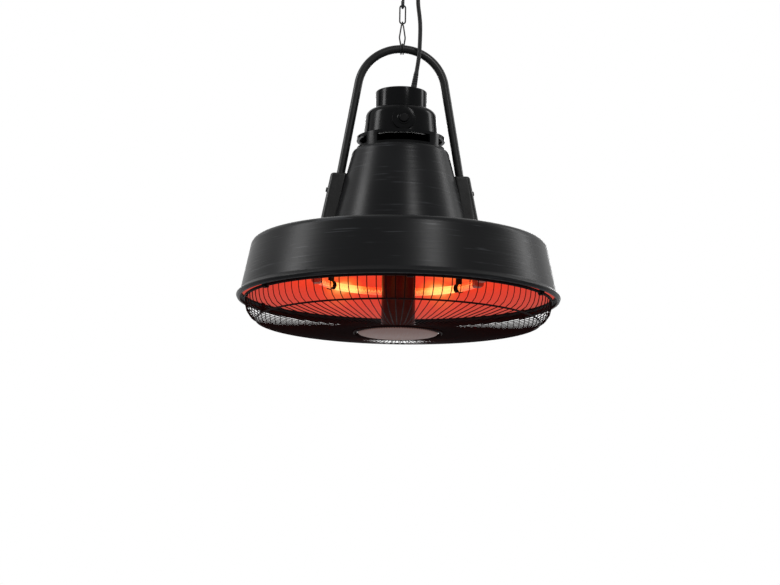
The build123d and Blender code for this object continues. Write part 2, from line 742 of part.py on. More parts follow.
def plug_pins():
    top = tail_end() - Vector(0, 0, 58)
    base = Align.CENTER, Align.CENTER, Align.MAX
    blades = [Pos(top + Vector(dx, 3, 0)) * Box(1.5, 6.4, 16, align=base) for dx in (-6.35, 6.35)]
    earth = Pos(top + Vector(0, -8.4, 0)) * Cylinder(2.4, 18.5, align=base)
    return Compound(blades + [fillet(earth.edges().sort_by(Axis.Z)[0], 1.8)])


PARTS = {
    "ceiling_eye": ceiling_eye,
    "hanger_hook": hanger_hook,
    "chain_link": chain_link,
    "bail_connector": bail_connector,
    "hanging_bail": hanging_bail,
    "socket_left": lambda: socket(-1),
    "socket_right": lambda: socket(1),
    "socket_screws": socket_screws,
    "neck_cone": neck_cone,
    "shade": shade,
    "reflector": reflector,
    "heat_shield": heat_shield,
    "centre_column": centre_column,
    "centre_plate": centre_plate,
    "plate_ring": plate_ring,
    "column_bolt": column_bolt,
    "lamp_front": lambda: lamp(-1),
    "lamp_rear": lambda: lamp(1),
    "filament_front": lambda: lamp_filament(-1),
    "filament_rear": lambda: lamp_filament(1),
    "lamp_end_caps": lamp_end_caps,
    "lamp_holders": lamp_holders,
    "guard_wires": guard_wires,
    "guard_ring": guard_ring,
    "guard_rim": guard_rim,
    "guard_clips": guard_clips,
    "vent_collar": vent_collar,
    "dome": dome,
    "button_bezel": button_bezel,
    "power_button": power_button,
    "switch_body": switch_body,
    "top_cap": top_cap,
    "cap_screws": cap_screws,
    "terminal_block": terminal_block,
    "control_board": control_board,
    "relays": relays,
    "thermal_cutout": thermal_cutout,
    "inner_bracket": inner_bracket,
    "strain_relief": strain_relief,
    "cord_tie": cord_tie,
    "plug_body": plug_body,
    "plug_pins": plug_pins,
}


def main():
    os.makedirs("parts", exist_ok=True)
    for name, make in PARTS.items():
        export_step(make(), f"parts/{name}.step")
    total = (spot(*LOWER_ROUTE[0]) - spot(*CORD_EXIT)).length + 22
    for name, points in (("lower", LOWER_ROUTE), ("middle", MIDDLE_ROUTE), ("upper", UPPER_ROUTE)):
        tube, length = cord_tube(name, route(points))
        export_step(tube, f"parts/cord_{name}.step")
        total += length
    coil, length = cord_coil()
    export_step(coil, "parts/cord_coil.step")
    print("cord length", round(total + length), "of", CORD_LENGTH)


if __name__ == "__main__":
    main()
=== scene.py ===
import math

import bpy
from mathutils import Matrix, Vector


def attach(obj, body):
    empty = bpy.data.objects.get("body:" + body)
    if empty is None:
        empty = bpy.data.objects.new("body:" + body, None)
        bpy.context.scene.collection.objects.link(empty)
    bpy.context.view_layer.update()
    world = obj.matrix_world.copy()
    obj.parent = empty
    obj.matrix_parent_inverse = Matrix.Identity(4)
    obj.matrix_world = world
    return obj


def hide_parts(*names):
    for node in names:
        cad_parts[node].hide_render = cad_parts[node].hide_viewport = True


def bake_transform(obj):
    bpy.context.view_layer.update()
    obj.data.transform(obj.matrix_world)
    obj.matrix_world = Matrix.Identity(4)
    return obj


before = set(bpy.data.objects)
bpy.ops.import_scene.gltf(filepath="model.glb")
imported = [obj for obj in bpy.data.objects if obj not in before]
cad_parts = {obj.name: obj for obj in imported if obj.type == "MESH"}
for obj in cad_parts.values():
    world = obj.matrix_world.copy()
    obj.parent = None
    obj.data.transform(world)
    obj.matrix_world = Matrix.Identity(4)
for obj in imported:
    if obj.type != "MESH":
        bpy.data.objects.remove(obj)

bl_info = {
    "name": "Hanging patio heater",
    "version": (1, 0, 0),
    "blender": (4, 5, 0),
    "location": "3D View > Sidebar > Heater",
    "description": "Builds the looks of a hanging electric patio heater round its packed frame",
    "category": "Object",
}

MM = 0.001
DROP = 610.0            # ceiling face down to the plane of the shade's lip, in millimetres

# Routes of the free cord, in metres: x, y and the height above the lip plane
LOWER_ROUTE = [(0.0200, -0.0174, 0.329), (0.02258, -0.01703, 0.345), (0.0243, -0.0166, 0.365),
               (0.0246, -0.0164, 0.386)]
MIDDLE_ROUTE = [(0.0246, -0.0164, 0.386), (0.02476, -0.01629, 0.397), (0.0238, -0.0162, 0.410),
                (0.0220, -0.0161, 0.423)]
UPPER_ROUTE = [(0.0220, -0.0161, 0.423), (0.0202, -0.0160, 0.436), (0.0230, -0.0145, 0.456),
               (0.0310, -0.0100, 0.480), (0.0371, -0.0072, 0.507), (0.0371, -0.0072, 0.530)]
CORD_R = 3.0
CORD_EXIT = (15.8, -18.0, 303.0)
COIL_Z = 530.0
COIL_BACK_Y = -7.2
COIL_INNER_R = 26.0
COIL_STEP = 7.4
COIL_LAYER = 7.0
COIL_LAYERS = 4
COIL_SPIRAL = 1.5
TAIL_LENGTH = 6.0


def up(z):
    """A height above the lip plane, in millimetres, as metres in the frame."""
    return (z - DROP) * MM


def spot(x, y, z):
    """A point given in millimetres, with its height above the lip plane, as metres in the frame."""
    return Vector((x * MM, y * MM, up(z)))


class HeaterSizes(bpy.types.PropertyGroup):
    """Sizes that a user would change, in metres."""
    lip_radius: bpy.props.FloatProperty(
        name="Lip radius", description="Widest radius of the shade's flared lip",
        default=0.230, subtype="DISTANCE", unit="LENGTH")
    sheet: bpy.props.FloatProperty(
        name="Sheet", description="Thickness of the spun sheet metal",
        default=0.0012, subtype="DISTANCE", unit="LENGTH")
    tube_radius: bpy.props.FloatProperty(
        name="Bail tube", description="Outer radius of the bail's tube",
        default=0.006, subtype="DISTANCE", unit="LENGTH")
    link_wire: bpy.props.FloatProperty(
        name="Link wire", description="Radius of the chain link's and connector's wire",
        default=0.0011, subtype="DISTANCE", unit="LENGTH")
    guard_wire: bpy.props.FloatProperty(
        name="Guard wire", description="Radius of one radial wire of the guard",
        default=0.0007, subtype="DISTANCE", unit="LENGTH")
    guard_wires: bpy.props.IntProperty(
        name="Guard wires", description="Number of radial wires in the guard", default=106, min=12)
    turned_steps: bpy.props.IntProperty(
        name="Steps", description="Sides of a turned piece", default=192, min=24)


class HeaterFinishes(bpy.types.PropertyGroup):
    """Colours and finishes that a user would change."""
    lacquer: bpy.props.FloatVectorProperty(
        name="Lacquer", description="Satin charcoal of the shade and the neck",
        default=(0.0062, 0.0064, 0.0068), subtype="COLOR", min=0, max=1)
    gloss: bpy.props.FloatVectorProperty(
        name="Gloss black", description="Black of the cap, the dome and the collar",
        default=(0.0018, 0.0019, 0.0021), subtype="COLOR", min=0, max=1)
    coat: bpy.props.FloatVectorProperty(
        name="Coated steel", description="Black of the bail, chain and wires",
        default=(0.007, 0.0069, 0.0068), subtype="COLOR", min=0, max=1)
    rubber: bpy.props.FloatVectorProperty(
        name="Cord rubber", description="Black of the cord's jacket",
        default=(0.0065, 0.0065, 0.0068), subtype="COLOR", min=0, max=1)
    glow: bpy.props.FloatProperty(
        name="Glow", description="Strength of the lamps' light", default=1.0, min=0)


# Shaping helpers

def start_clean():
    """Leaves edit mode and deselects everything."""
    if bpy.context.object and bpy.context.object.mode != "OBJECT":
        bpy.ops.object.mode_set(mode="OBJECT")
    bpy.ops.object.select_all(action="DESELECT")


def only(piece):
    start_clean()
    piece.select_set(True)
    bpy.context.view_layer.objects.active = piece


def named(name):
    piece = bpy.context.object
    piece.name = name
    piece.data.name = name
    return piece


def apply_place(piece):
    only(piece)
    bpy.ops.object.transform_apply(location=True, rotation=True, scale=True)


def finish_modifiers(piece):
    only(piece)
    for modifier in list(piece.modifiers):
        bpy.ops.object.modifier_apply(modifier=modifier.name)


def smooth(piece, degrees):
    only(piece)
    bpy.ops.object.shade_smooth_by_angle(angle=math.radians(degrees))


def outward(piece):
    """Merges doubles and turns every face outwards."""
    only(piece)
    bpy.ops.object.mode_set(mode="EDIT")
    bpy.ops.mesh.select_all(action="SELECT")
    bpy.ops.mesh.remove_doubles(threshold=1e-6)
    bpy.ops.mesh.normals_make_consistent(inside=False)
    bpy.ops.object.mode_set(mode="OBJECT")


def rounded(points, radii, steps=6):
    """An outline of (radius, height) with the corners between its ends rounded, a radius for each."""
    rows = [Vector(points[0])]
    for index in range(1, len(points) - 1):
        corner, radius = Vector(points[index]), radii[index - 1]
        before = (Vector(points[index - 1]) - corner).normalized()
        after = (Vector(points[index + 1]) - corner).normalized()
        half = before.angle(after) / 2
        reach = radius / math.tan(half)
        centre = corner + (before + after).normalized() * (radius / math.sin(half))
        first, last = corner + before * reach - centre, corner + after * reach - centre
        turn = first.angle_signed(last)
        for step in range(steps + 1):
            rows.append(centre + Matrix.Rotation(-turn * step / steps, 2) @ first)
    rows.append(Vector(points[-1]))
    return [(row.x, row.y) for row in rows]


def turned(name, outline, wall=0.0, steps=None):
    """A turned piece: a circle extruded and resized row by row along (radius, height) in millimetres.

    A wall is given to the inner side."""
    steps = steps or bpy.context.scene.heater_sizes.turned_steps
    start_clean()
    radius, height = outline[0]
    bpy.ops.mesh.primitive_circle_add(vertices=steps, radius=radius * MM, location=(0, 0, up(height)))
    piece = named(name)
    apply_place(piece)
    bpy.ops.object.mode_set(mode="EDIT")
    bpy.ops.mesh.select_all(action="SELECT")
    for (r0, z0), (r1, z1) in zip(outline, outline[1:]):
        bpy.ops.mesh.extrude_edges_move(TRANSFORM_OT_translate={"value": (0, 0, (z1 - z0) * MM)})
        share = r1 / r0
        bpy.ops.transform.resize(value=(share, share, 1), center_override=(0, 0, up(z1)))
    bpy.ops.object.mode_set(mode="OBJECT")
    outward(piece)
    if wall:
        thick = piece.modifiers.new("wall", "SOLIDIFY")
        thick.thickness = wall * MM
        thick.offset = -1
        thick.use_even_offset = True
        finish_modifiers(piece)
    return piece


def wire(name, points, radius, sides, closed=False):
    """A bent wire or tube: a curve with a round section, made a mesh. Radius in metres, points too."""
    start_clean()
    curve = bpy.data.curves.new(name, "CURVE")
    curve.dimensions = "3D"
    curve.bevel_depth = radius
    curve.bevel_resolution = max(0, sides // 4 - 1)
    curve.use_fill_caps = not closed
    spline = curve.splines.new("POLY")
    spline.points.add(len(points) - 1)
    for point, place in zip(spline.points, points):
        point.co = (*place, 1.0)
    spline.use_cyclic_u = closed
    piece = bpy.data.objects.new(name, curve)
    bpy.context.scene.collection.objects.link(piece)
    only(piece)
    bpy.ops.object.convert(target="MESH")
    piece = bpy.context.object
    smooth(piece, 50)
    return piece


def round_edges(piece, width, segments, angle):
    """Bevels the edges sharper than an angle in degrees; width in millimetres."""
    soften = piece.modifiers.new("edges", "BEVEL")
    soften.width = width * MM
    soften.segments = segments
    soften.limit_method = "ANGLE"
    soften.angle_limit = math.radians(angle)
    finish_modifiers(piece)


def join(name, pieces):
    start_clean()
    for piece in pieces:
        piece.select_set(True)
    bpy.context.view_layer.objects.active = pieces[0]
    bpy.ops.object.join()
    return named(name)


def fan(piece, count):
    """Repeats a piece evenly about the heater's axis."""
    only(piece)
    bpy.ops.object.mode_set(mode="EDIT")
    bpy.ops.mesh.select_all(action="SELECT")
    bpy.ops.mesh.spin(steps=count - 1, dupli=True, angle=2 * math.pi * (count - 1) / count,
                      center=(0, 0, 0), axis=(0, 0, 1))
    bpy.ops.object.mode_set(mode="OBJECT")


def cad_copy(node, name, degrees):
    """A copy of a CAD node with its triangles joined, to be smoothed."""
    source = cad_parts[node]
    piece = bpy.data.objects.new(name, source.data.copy())
    bpy.context.scene.collection.objects.link(piece)
    piece.data.name = name
    only(piece)
    bpy.ops.object.mode_set(mode="EDIT")
    bpy.ops.mesh.select_all(action="SELECT")
    bpy.ops.mesh.remove_doubles(threshold=1e-6)
    bpy.ops.mesh.tris_convert_to_quads(face_threshold=math.radians(1), shape_threshold=math.radians(180))
    bpy.ops.object.mode_set(mode="OBJECT")
    smooth(piece, degrees)
    return piece


def paint(piece, material):
    piece.data.materials.clear()
    piece.data.materials.append(material)


def seat(piece, body, material, nodes):
    """Gives a finished piece its material, the body that it rides on and the nodes that it stands for."""
    paint(piece, material)
    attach(piece, body)
    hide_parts(*nodes)


# Finishes

NOISE_ROUGHNESS = 0.55

# Where the lamps burn, and where their light and their reflection are painted on the reflector as glow:
# turns from the line from front to back, radii in metres
BURN_TURN = math.radians(38)
PAINTED_REFLECTION_TURN = math.radians(23)
LIT_R = 0.125
PAINTED_REFLECTION_R = 0.183
DULL_FROM_R = 0.190
DULL_TO_R = 0.214


class Finish:
    """A node material under construction."""

    def __init__(self, name):
        self.material = bpy.data.materials.new(name)
        self.material.use_nodes = True
        self.tree = self.material.node_tree
        self.shader = self.tree.nodes["Principled BSDF"]

    def node(self, kind, **settings):
        made = self.tree.nodes.new(kind)
        for key, value in settings.items():
            setattr(made, key, value)
        return made

    def link(self, source, target):
        self.tree.links.new(source, target)

    def set(self, **values):
        for key, value in values.items():
            self.shader.inputs[key.replace("_", " ")].default_value = value
        return self

    def place(self, scale):
        """Object coordinates stretched by one scale, or by a scale for each axis."""
        coordinates = self.node("ShaderNodeTexCoord")
        mapping = self.node("ShaderNodeMapping")
        mapping.inputs["Scale"].default_value = scale if isinstance(scale, tuple) else (scale, scale, scale)
        self.link(coordinates.outputs["Object"], mapping.inputs["Vector"])
        return mapping.outputs["Vector"]

    def noise(self, scale, detail):
        texture = self.node("ShaderNodeTexNoise")
        texture.inputs["Scale"].default_value = 1.0
        texture.inputs["Detail"].default_value = detail
        texture.inputs["Roughness"].default_value = NOISE_ROUGHNESS
        self.link(self.place(scale), texture.inputs["Vector"])
        return texture.outputs["Fac"]

    def axes(self):
        """The object coordinates x, y and z."""
        parts = self.node("ShaderNodeSeparateXYZ")
        self.link(self.place(1), parts.inputs["Vector"])
        return parts.outputs

    def from_axis(self, x, y):
        """Distance from the heater's axis."""
        squares = self.maths("ADD", self.maths("MULTIPLY", x, x), self.maths("MULTIPLY", y, y))
        return self.maths("SQRT", squares)

    def from_depth_line(self, x, y):
        """Turn about the axis, measured from the nearer end of the line from front to back."""
        turn = self.maths("ARCTAN2", y, x)
        return self.off(self.maths("ABSOLUTE", turn), math.pi / 2)

    def brushing(self, along, across):
        """Fine streaks that run round the heater's axis, on walls and on flat tops alike."""
        x, y, z = self.axes()
        depth = self.maths("ADD", z, self.from_axis(x, y))
        joined = self.node("ShaderNodeCombineXYZ")
        for socket, value, scale in zip(joined.inputs, (x, y, depth), (along, along, across)):
            self.link(self.maths("MULTIPLY", value, scale), socket)
        texture = self.node("ShaderNodeTexNoise")
        texture.inputs["Scale"].default_value = 1.0
        texture.inputs["Detail"].default_value = 2.0
        self.link(joined.outputs["Vector"], texture.inputs["Vector"])
        return texture.outputs["Fac"]

    def ramp(self, value, stops):
        made = self.node("ShaderNodeValToRGB")
        while len(made.color_ramp.elements) < len(stops):
            made.color_ramp.elements.new(0.5)
        for element, (position, colour) in zip(made.color_ramp.elements, stops):
            element.position = position
            element.color = (*colour, 1.0)
        self.link(value, made.inputs["Fac"])
        return made.outputs["Color"]

    def level(self, value, low, high, first=0.0, last=1.0):
        """Remaps a value's range, clamped."""
        made = self.node("ShaderNodeMapRange")
        for key, number in (("From Min", low), ("From Max", high), ("To Min", first), ("To Max", last)):
            made.inputs[key].default_value = number
        self.link(value, made.inputs["Value"])
        return made.outputs["Result"]

    def maths(self, operation, first, second=None):
        made = self.node("ShaderNodeMath", operation=operation)
        for socket, value in zip(made.inputs, (first, second)):
            if value is None:
                continue
            if isinstance(value, (int, float)):
                socket.default_value = value
            else:
                self.link(value, socket)
        return made.outputs["Value"]

    def off(self, value, middle):
        """How far a value is from a middle, whichever side it is on."""
        return self.maths("ABSOLUTE", self.maths("SUBTRACT", value, middle))

    def bump(self, height, strength, distance):
        made = self.node("ShaderNodeBump")
        made.inputs["Strength"].default_value = strength
        made.inputs["Distance"].default_value = distance
        self.link(height, made.inputs["Height"])
        self.link(made.outputs["Normal"], self.shader.inputs["Normal"])

    def colour(self, output):
        self.link(output, self.shader.inputs["Base Color"])

    def roughness(self, output):
        self.link(output, self.shader.inputs["Roughness"])

    def glow(self, output, strength):
        self.link(output, self.shader.inputs["Emission Color"])
        self.shader.inputs["Emission Strength"].default_value = strength

    def dapple(self, texture, colour, ends, brightness):
        """Colours the finish by a texture: one colour at several brightnesses, each at its own level."""
        stops = [(end, dimmed(colour, share)) for end, share in zip(ends, brightness)]
        self.colour(self.ramp(texture, stops))


def dimmed(colour, share):
    return tuple(channel * share for channel in colour)


def brushed_lacquer(colour):
    """Satin charcoal lacquer over metal with fine scratches round the axis."""
    finish = Finish("brushed_lacquer").set(Specular_IOR_Level=0.07)
    streaks = finish.brushing(14, 480)
    scratches = finish.level(streaks, 0.60, 0.70)
    clouds = finish.noise((7, 7, 10), 2.0)
    bare = finish.maths("MULTIPLY", scratches, 0.75)
    mixed = finish.maths("ADD", bare, finish.maths("MULTIPLY", clouds, 0.45))
    finish.dapple(mixed, colour, (0.15, 0.55, 1.0), (0.75, 1.25, 4.0))
    polish = finish.maths("ADD", clouds, finish.maths("MULTIPLY", scratches, -0.3))
    finish.roughness(finish.level(polish, 0.2, 0.8, 0.27, 0.38))
    finish.bump(streaks, 0.35, 0.0006)
    return finish.material


def gloss_black(colour):
    """Deep glossy black with a faint orange peel."""
    finish = Finish("gloss_black").set(Specular_IOR_Level=0.055)
    finish.dapple(finish.noise(420, 2.0), colour, (0.3, 0.75), (0.8, 1.5))
    finish.roughness(finish.level(finish.noise(30, 2.0), 0.3, 0.7, 0.13, 0.24))
    finish.bump(finish.noise(260, 1.0), 0.05, 0.0004)
    return finish.material


def coated_steel(name, colour, rough, grain, shine=0.14):
    """Black coated steel with a fine grain."""
    finish = Finish(name).set(Specular_IOR_Level=shine)
    speckle = finish.noise(grain, 2.0)
    finish.dapple(speckle, colour, (0.35, 0.8), (0.7, 1.7))
    finish.roughness(finish.level(finish.noise(60, 2.0), 0.3, 0.7, *rough))
    finish.bump(speckle, 0.12, 0.0003)
    return finish.material


def cord_jacket(colour):
    """Rubber jacket with a dull sheen and fine scuffs."""
    finish = Finish("cord_jacket").set(Specular_IOR_Level=0.12)
    scuffs = finish.noise(240, 4.0)
    finish.dapple(scuffs, colour, (0.35, 0.75), (0.75, 1.6))
    finish.roughness(finish.level(scuffs, 0.3, 0.7, 0.36, 0.5))
    finish.bump(finish.noise(900, 2.0), 0.1, 0.0003)
    return finish.material


def bare_metal(name, colour, rough=(0.24, 0.4), grain=300):
    """Plain or plated metal with a worn grain."""
    finish = Finish(name).set(Metallic=1.0)
    wear = finish.noise(grain, 3.0)
    finish.dapple(wear, colour, (0.3, 0.75), (0.82, 1.1))
    finish.roughness(finish.level(wear, 0.3, 0.75, *rough))
    finish.bump(wear, 0.08, 0.0003)
    return finish.material


def moulded(name, colour, rough=(0.4, 0.55), shine=0.3):
    """Moulded plastic or ceramic with a fine texture."""
    finish = Finish(name).set(Specular_IOR_Level=shine)
    texture = finish.noise(600, 2.0)
    finish.dapple(texture, colour, (0.3, 0.75), (0.85, 1.15))
    finish.roughness(finish.level(texture, 0.3, 0.7, *rough))
    finish.bump(texture, 0.15, 0.0002)
    return finish.material


def lamp_brightness(finish, side):
    """Where round the rings the coil burns: two stretches behind the axis, and their mirror in front."""
    off_middle = finish.off(side, BURN_TURN)
    return finish.level(off_middle, math.radians(8), math.radians(22), 1.0, 0.0)


def reflector_painted_lamp_glow(strength):
    """Spun reflector with the lamps' red light painted on as emission, brightest beside them, and a painted
    reflection of them where its wall would mirror them.
    """
    finish = Finish("reflector_painted_lamp_glow")
    finish.set(Specular_IOR_Level=0.0, Base_Color=(0.30, 0.045, 0.03, 1.0))
    x, y, _ = finish.axes()
    radius = finish.from_axis(x, y)
    side = finish.from_depth_line(x, y)
    # Painted lamp light beside the lamps, and their painted reflection further out, both given as emission
    near = finish.level(finish.off(radius, LIT_R), 0.012, 0.08, 1.0, 0.0)
    burn = finish.maths("MULTIPLY", lamp_brightness(finish, side), 0.7)
    painted_glow = finish.maths("MULTIPLY", near, finish.maths("ADD", burn, 0.3))
    along = finish.level(finish.off(side, PAINTED_REFLECTION_TURN), math.radians(2), math.radians(15), 0.95, 0.0)
    across = finish.level(finish.off(radius, PAINTED_REFLECTION_R), 0.006, 0.04, 1.0, 0.0)
    painted_glow = finish.maths("MAXIMUM", painted_glow, finish.maths("MULTIPLY", along, across))
    outer = finish.level(radius, DULL_FROM_R, DULL_TO_R)
    rings = finish.noise((40, 40, 900), 2.0)
    red = finish.ramp(painted_glow, [(0.0, (0.70, 0.028, 0.010)), (0.38, (0.84, 0.040, 0.010)),
                             (0.72, (1.0, 0.16, 0.02)), (1.0, (1.0, 0.62, 0.16))])
    mixed = finish.node("ShaderNodeMix", data_type="RGBA")
    finish.link(finish.maths("MULTIPLY", outer, 0.8), mixed.inputs[0])
    finish.link(red, mixed.inputs[6])
    mixed.inputs[7].default_value = (0.42, 0.075, 0.060, 1.0)
    finish.glow(mixed.outputs[2], 0.86 * strength)
    finish.roughness(finish.level(rings, 0.3, 0.7, 0.22, 0.38))
    finish.bump(rings, 0.1, 0.0004)
    return finish.material


def lamp_glass(strength):
    """Quartz tube round a burning coil: bright where the coil burns, deep orange at its ends."""
    finish = Finish("lamp_glass").set(Transmission_Weight=0.3, IOR=1.15, Roughness=0.12)
    x, y, _ = finish.axes()
    burn = lamp_brightness(finish, finish.from_depth_line(x, y))
    ripple = finish.noise(500, 2.0)
    flicker = finish.maths("MULTIPLY", finish.maths("SUBTRACT", ripple, 0.5), 0.25)
    light = finish.maths("ADD", burn, flicker)
    finish.glow(finish.ramp(light, [(0.0, (0.50, 0.03, 0.01)), (0.5, (0.62, 0.15, 0.02)),
                                    (1.0, (0.72, 0.48, 0.13))]), 1.2 * strength)
    finish.colour(finish.ramp(ripple, [(0.3, (0.8, 0.3, 0.15)), (0.8, (0.9, 0.4, 0.2))]))
    return finish.material


def burning_coil(strength):
    """The burning wire in the lamps, orange to yellow."""
    finish = Finish("burning_coil").set(Roughness=0.5)
    weave = finish.noise(900, 1.0)
    colour = finish.ramp(weave, [(0.3, (1.0, 0.45, 0.08)), (0.8, (1.0, 0.85, 0.4))])
    finish.glow(colour, 3.0 * strength)
    finish.colour(colour)
    return finish.material


def board_resist():
    """Green solder resist with a faint pattern of tracks."""
    finish = Finish("board_resist").set(Specular_IOR_Level=0.5)
    tracks = finish.noise((160, 900, 160), 1.0)
    finish.colour(finish.ramp(tracks, [(0.45, (0.012, 0.075, 0.03)), (0.5, (0.03, 0.16, 0.06))]))
    finish.roughness(finish.level(tracks, 0.4, 0.6, 0.28, 0.4))
    finish.bump(tracks, 0.2, 0.0002)
    return finish.material


FINISHES = {}


def finishes():
    """Every finish of the heater, made once."""
    if FINISHES:
        return FINISHES
    chosen = bpy.context.scene.heater_finishes
    FINISHES.update(
        lacquer=brushed_lacquer(tuple(chosen.lacquer)),
        gloss=gloss_black(tuple(chosen.gloss)),
        bail=coated_steel("satin_powder_coat", tuple(chosen.coat), (0.27, 0.4), 500),
        steel=coated_steel("coated_steel", dimmed(chosen.coat, 1.2), (0.3, 0.45), 800),
        # Black coating with the lamps' red light painted in as a dark red tint
        guard=coated_steel("guard_coating_painted_red", (0.007, 0.003, 0.003), (0.4, 0.55), 900, 0.02),
        rubber=cord_jacket(tuple(chosen.rubber)),
        plain=bare_metal("plain_steel", (0.42, 0.41, 0.40)),
        brass=bare_metal("bare_brass", (0.68, 0.5, 0.22), (0.2, 0.32)),
        column=bare_metal("column_metal", (0.042, 0.020, 0.018), (0.28, 0.4), (60, 60, 900)),
        # Grey metal with a painted reflection of the red glow tinted into its colour
        plate=bare_metal("plate_metal_painted_red", (0.21, 0.112, 0.090), (0.42, 0.55), (500, 30, 500)),
        ceramic=moulded("ceramic", (0.62, 0.58, 0.52)),
        # Lit copy of the ceramic: the lamps' red light is painted into its colour
        hot_ceramic=moulded("hot_ceramic", (0.35, 0.06, 0.03)),
        button=moulded("button_plastic", (0.0035, 0.0035, 0.0038), (0.3, 0.42), 0.05),
        board=board_resist(),
        # The reflector's red glow is painted lamp light and painted reflection
        reflector=reflector_painted_lamp_glow(chosen.glow),
        glass=lamp_glass(chosen.glow),
        coil=burning_coil(chosen.glow),
    )
    return FINISHES


# The cord

def metres(route):
    """A route's points in the frame, where heights are counted from the ceiling's face."""
    return [Vector((x, y, z - DROP * MM)) for x, y, z in route]


def smooth_line(points, steps):
    """The points that a NURBS spline with these control points passes through."""
    curve = bpy.data.curves.new("guide", "CURVE")
    curve.dimensions = "3D"
    spline = curve.splines.new("NURBS")
    spline.points.add(len(points) - 1)
    for point, place in zip(spline.points, points):
        point.co = (*place, 1.0)
    spline.order_u = 3
    spline.use_endpoint_u = True
    spline.resolution_u = steps
    guide = bpy.data.objects.new("guide", curve)
    bpy.context.scene.collection.objects.link(guide)
    mesh = bpy.data.meshes.new_from_object(guide)
    line = [vertex.co.copy() for vertex in mesh.vertices]
    bpy.data.meshes.remove(mesh)
    bpy.data.objects.remove(guide)
    return line


def coil_point(turn):
    """The coil's centre line: spirals in and out, layer on layer, climbing in the half turns between."""
    layer = int(turn // (COIL_SPIRAL + 0.5))
    within = turn - layer * (COIL_SPIRAL + 0.5)
    spiral = min(within, COIL_SPIRAL)
    climb = max(within - COIL_SPIRAL, 0.0) / 0.5
    radius = COIL_INNER_R + COIL_STEP * (COIL_SPIRAL - spiral if layer % 2 == 0 else spiral)
    angle = 2 * math.pi * turn
    y = COIL_BACK_Y - COIL_LAYER * (layer + climb)
    return spot(radius * math.cos(angle), y, COIL_Z + radius * math.sin(angle))


def coil_control():
    """Control points of the coil, a little outside its line, because the spline cuts inside them."""
    steps_a_turn = 16
    turns = COIL_LAYERS * COIL_SPIRAL + (COIL_LAYERS - 1) * 0.5
    count = int(turns * steps_a_turn)
    centre = spot(0, 0, COIL_Z)
    outside = 1 / math.cos(math.pi / steps_a_turn) ** 1.5
    points = []
    for index in range(count + 1):
        place = coil_point(min(turns * index / count, turns - 1e-6))
        share = outside if 0 < index < count else 1.0
        points.append(Vector(((place.x - centre.x) * share, place.y,
                              centre.z + (place.z - centre.z) * share)))
    points.append(points[-1] - Vector((0, 0, TAIL_LENGTH * MM)))
    return points


class HEATER_OT_cord(bpy.types.Operator):
    """Lays the cord: three stretches between the hanging joints, the coil, its tie and the plug"""
    bl_idname = "heater.cord"
    bl_label = "Cord"

    def execute(self, context):
        rubber = finishes()["rubber"]
        radius = CORD_R * MM
        stretches = {
            "lower": ("heater", "bail_connector", LOWER_ROUTE),
            "middle": ("bail_connector", "chain_link", MIDDLE_ROUTE),
            "upper": ("chain_link", "hanger_hook", UPPER_ROUTE),
        }
        for name, (first, last, route) in stretches.items():
            line = smooth_line(metres(route), 10)
            tube = wire(f"cord_{name}_stretch", line, radius, sides=24)
            paint(tube, rubber)
            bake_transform(tube)
            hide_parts(f"cord_{name}")
        line = smooth_line(coil_control(), 4)
        coil = wire("cord_coil_turns", line, radius, sides=20)
        seat(coil, "hanger_hook", rubber, ["cord_coil"])
        plug = self.plug()
        self.relief()
        return {"FINISHED"}

    def plug(self):
        body = cad_copy("plug_body", "plug_moulding", 40)
        seat(body, "hanger_hook", finishes()["rubber"], ["plug_body"])
        tie = cad_copy("cord_tie", "coil_tie", 40)
        seat(tie, "hanger_hook", finishes()["button"], ["cord_tie"])
        paint(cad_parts["plug_pins"], finishes()["brass"])
        return body

    def relief(self):
        """The tapered strain relief on the cap, with shallow grooves."""
        start, end = spot(*CORD_EXIT), metres(LOWER_ROUTE)[0]
        length = (end - start).length / MM
        rows = [(4.5, 0.0), (5.6, 0.2), (5.6, 1.8), (4.6, 2.6)]
        grooves = 6
        for index in range(grooves):
            foot = 4.0 + index * (length - 6.0) / grooves
            radius = 4.5 - 1.1 * foot / length
            rows += [(radius, foot), (radius, foot + 2.0)]
            rows += [(radius - 0.35, foot + 2.4), (radius - 0.35, foot + 3.2)]
        rows += [(3.4, length - 1.0), (3.15, length)]
        piece = turned("cord_relief", [(r, h + DROP) for r, h in rows], steps=32)
        towards = (end - start).to_track_quat("Z", "Y").to_matrix().to_4x4()
        piece.data.transform(Matrix.Translation(start) @ towards)
        smooth(piece, 50)
        seat(piece, "heater", finishes()["rubber"], ["strain_relief"])


# The hanging set

LINK_FOOT_Z = 404.0
LINK_LENGTH = 30.0
LINK_WIDTH = 10.4
ARCH_Z = 304.0
ARCH_R = 63.2
LEG_LEAN = math.radians(9.7)
TANGENT_Z = ARCH_Z + ARCH_R * math.sin(LEG_LEAN)
BAIL_FOOT_Z = 157.0
TUBE_R = 6.0
WIRE_R = 1.1


def link_line():
    """The chain link's centre line, a long ring in the XZ plane."""
    half = LINK_WIDTH / 2 - WIRE_R
    low, high = LINK_FOOT_Z + LINK_WIDTH / 2, LINK_FOOT_Z + LINK_LENGTH - LINK_WIDTH / 2
    points = []
    for middle, first in ((high, 0.0), (low, math.pi)):
        for step in range(13):
            angle = first + math.pi * step / 12
            points.append(spot(half * math.cos(angle), 0, middle + half * math.sin(angle)))
    return points


